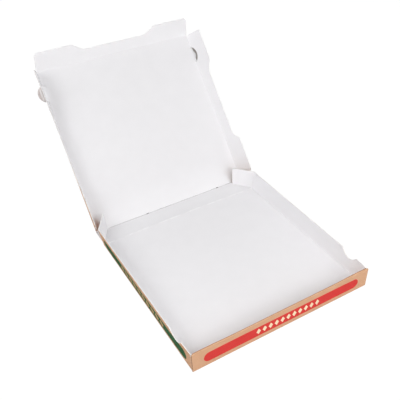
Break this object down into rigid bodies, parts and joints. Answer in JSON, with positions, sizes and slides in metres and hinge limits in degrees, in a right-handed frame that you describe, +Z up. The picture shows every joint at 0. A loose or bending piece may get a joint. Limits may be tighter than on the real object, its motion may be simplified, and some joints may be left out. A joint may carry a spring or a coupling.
{
  "type": "pizza box",
  "caption": "Open square takeaway box of thin corrugated board: shallow tray, rear wall laid flat, leaning lid with eared flaps and half-moon vents.",
  "frame": {"origin": "centre of the floor's underside, on the surface the box stands on", "axes": "+X to the right along the front wall, +Y from the front wall towards the lid, +Z up"},
  "size_m": [0.3512, 0.5821, 0.2855],
  "materials": {
    "board": "matte"
  },
  "bodies": {
    "tray": {"tray": "board"},
    "lid": {"lid": "board"},
    "lid_front_flap": {"lid_front_flap": "board"},
    "lid_left_flap": {"lid_left_flap": "board"},
    "lid_right_flap": {"lid_right_flap": "board"},
    "left_rear_tab": {"left_rear_tab": "board"},
    "right_rear_tab": {"right_rear_tab": "board"}
  },
  "joints": [
    {"name": "lid_fold", "type": "hinge", "parent": "tray", "child": "lid", "pos_m": [0, 0.206, 0], "axis": [1, 0, 0], "range_deg": [-49.5, 38]},
    {"name": "lid_front_flap_fold", "type": "hinge", "parent": "lid", "child": "lid_front_flap", "pos_m": [0, 0.41707, 0.24713], "axis": [1, 0, 0], "range_deg": [-45, 45]},
    {"name": "lid_right_flap_fold", "type": "hinge", "parent": "lid", "child": "lid_right_flap", "pos_m": [0.1635, 0.31154, 0.12357], "axis": [0, -0.6494, -0.7604], "range_deg": [-70, 20]},
    {"name": "lid_left_flap_fold", "type": "hinge", "parent": "lid", "child": "lid_left_flap", "pos_m": [-0.1635, 0.31154, 0.12357], "axis": [0, 0.6494, 0.7604], "range_deg": [-76, 14]},
    {"name": "right_rear_tab_fold", "type": "hinge", "parent": "tray", "child": "right_rear_tab", "pos_m": [0.165, 0.165, 0], "axis": [0.0872, 0, 0.9962], "range_deg": [-15, 52.5]},
    {"name": "left_rear_tab_fold", "type": "hinge", "parent": "tray", "child": "left_rear_tab", "pos_m": [-0.165, 0.165, 0], "axis": [0.1564, 0, -0.9877], "range_deg": [-7.5, 60]}
  ]
}
